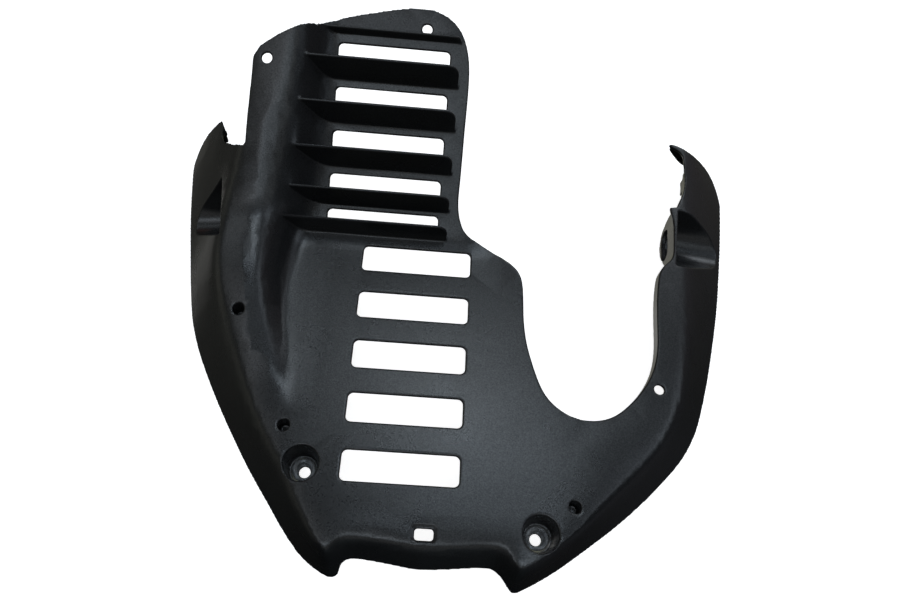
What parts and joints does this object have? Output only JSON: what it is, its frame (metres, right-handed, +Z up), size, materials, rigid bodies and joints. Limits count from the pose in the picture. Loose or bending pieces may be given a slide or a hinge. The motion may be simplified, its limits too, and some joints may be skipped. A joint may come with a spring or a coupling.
{
  "type": "motorcycle skid plate",
  "caption": "Thin moulded plastic under-cover: slotted floor, inclined louvred panel with upright fins, raised side band, U-shaped cut-out, flared walls, recessed screw wells and bolt lugs.",
  "frame": {"origin": "middle of the overall outline, on the plane of the lower rim that the part rests on", "axes": "+X across the part along the slots, away from the raised band; +Y from the front edge towards the louvred end; +Z up, out of the outer face"},
  "size_m": [0.4242, 0.3582, 0.1218],
  "materials": {
    "grained_black_plastic": "fine moulded grain, satin black"
  },
  "bodies": {
    "root": {"skid_plate": "grained_black_plastic"}
  },
  "joints": []
}
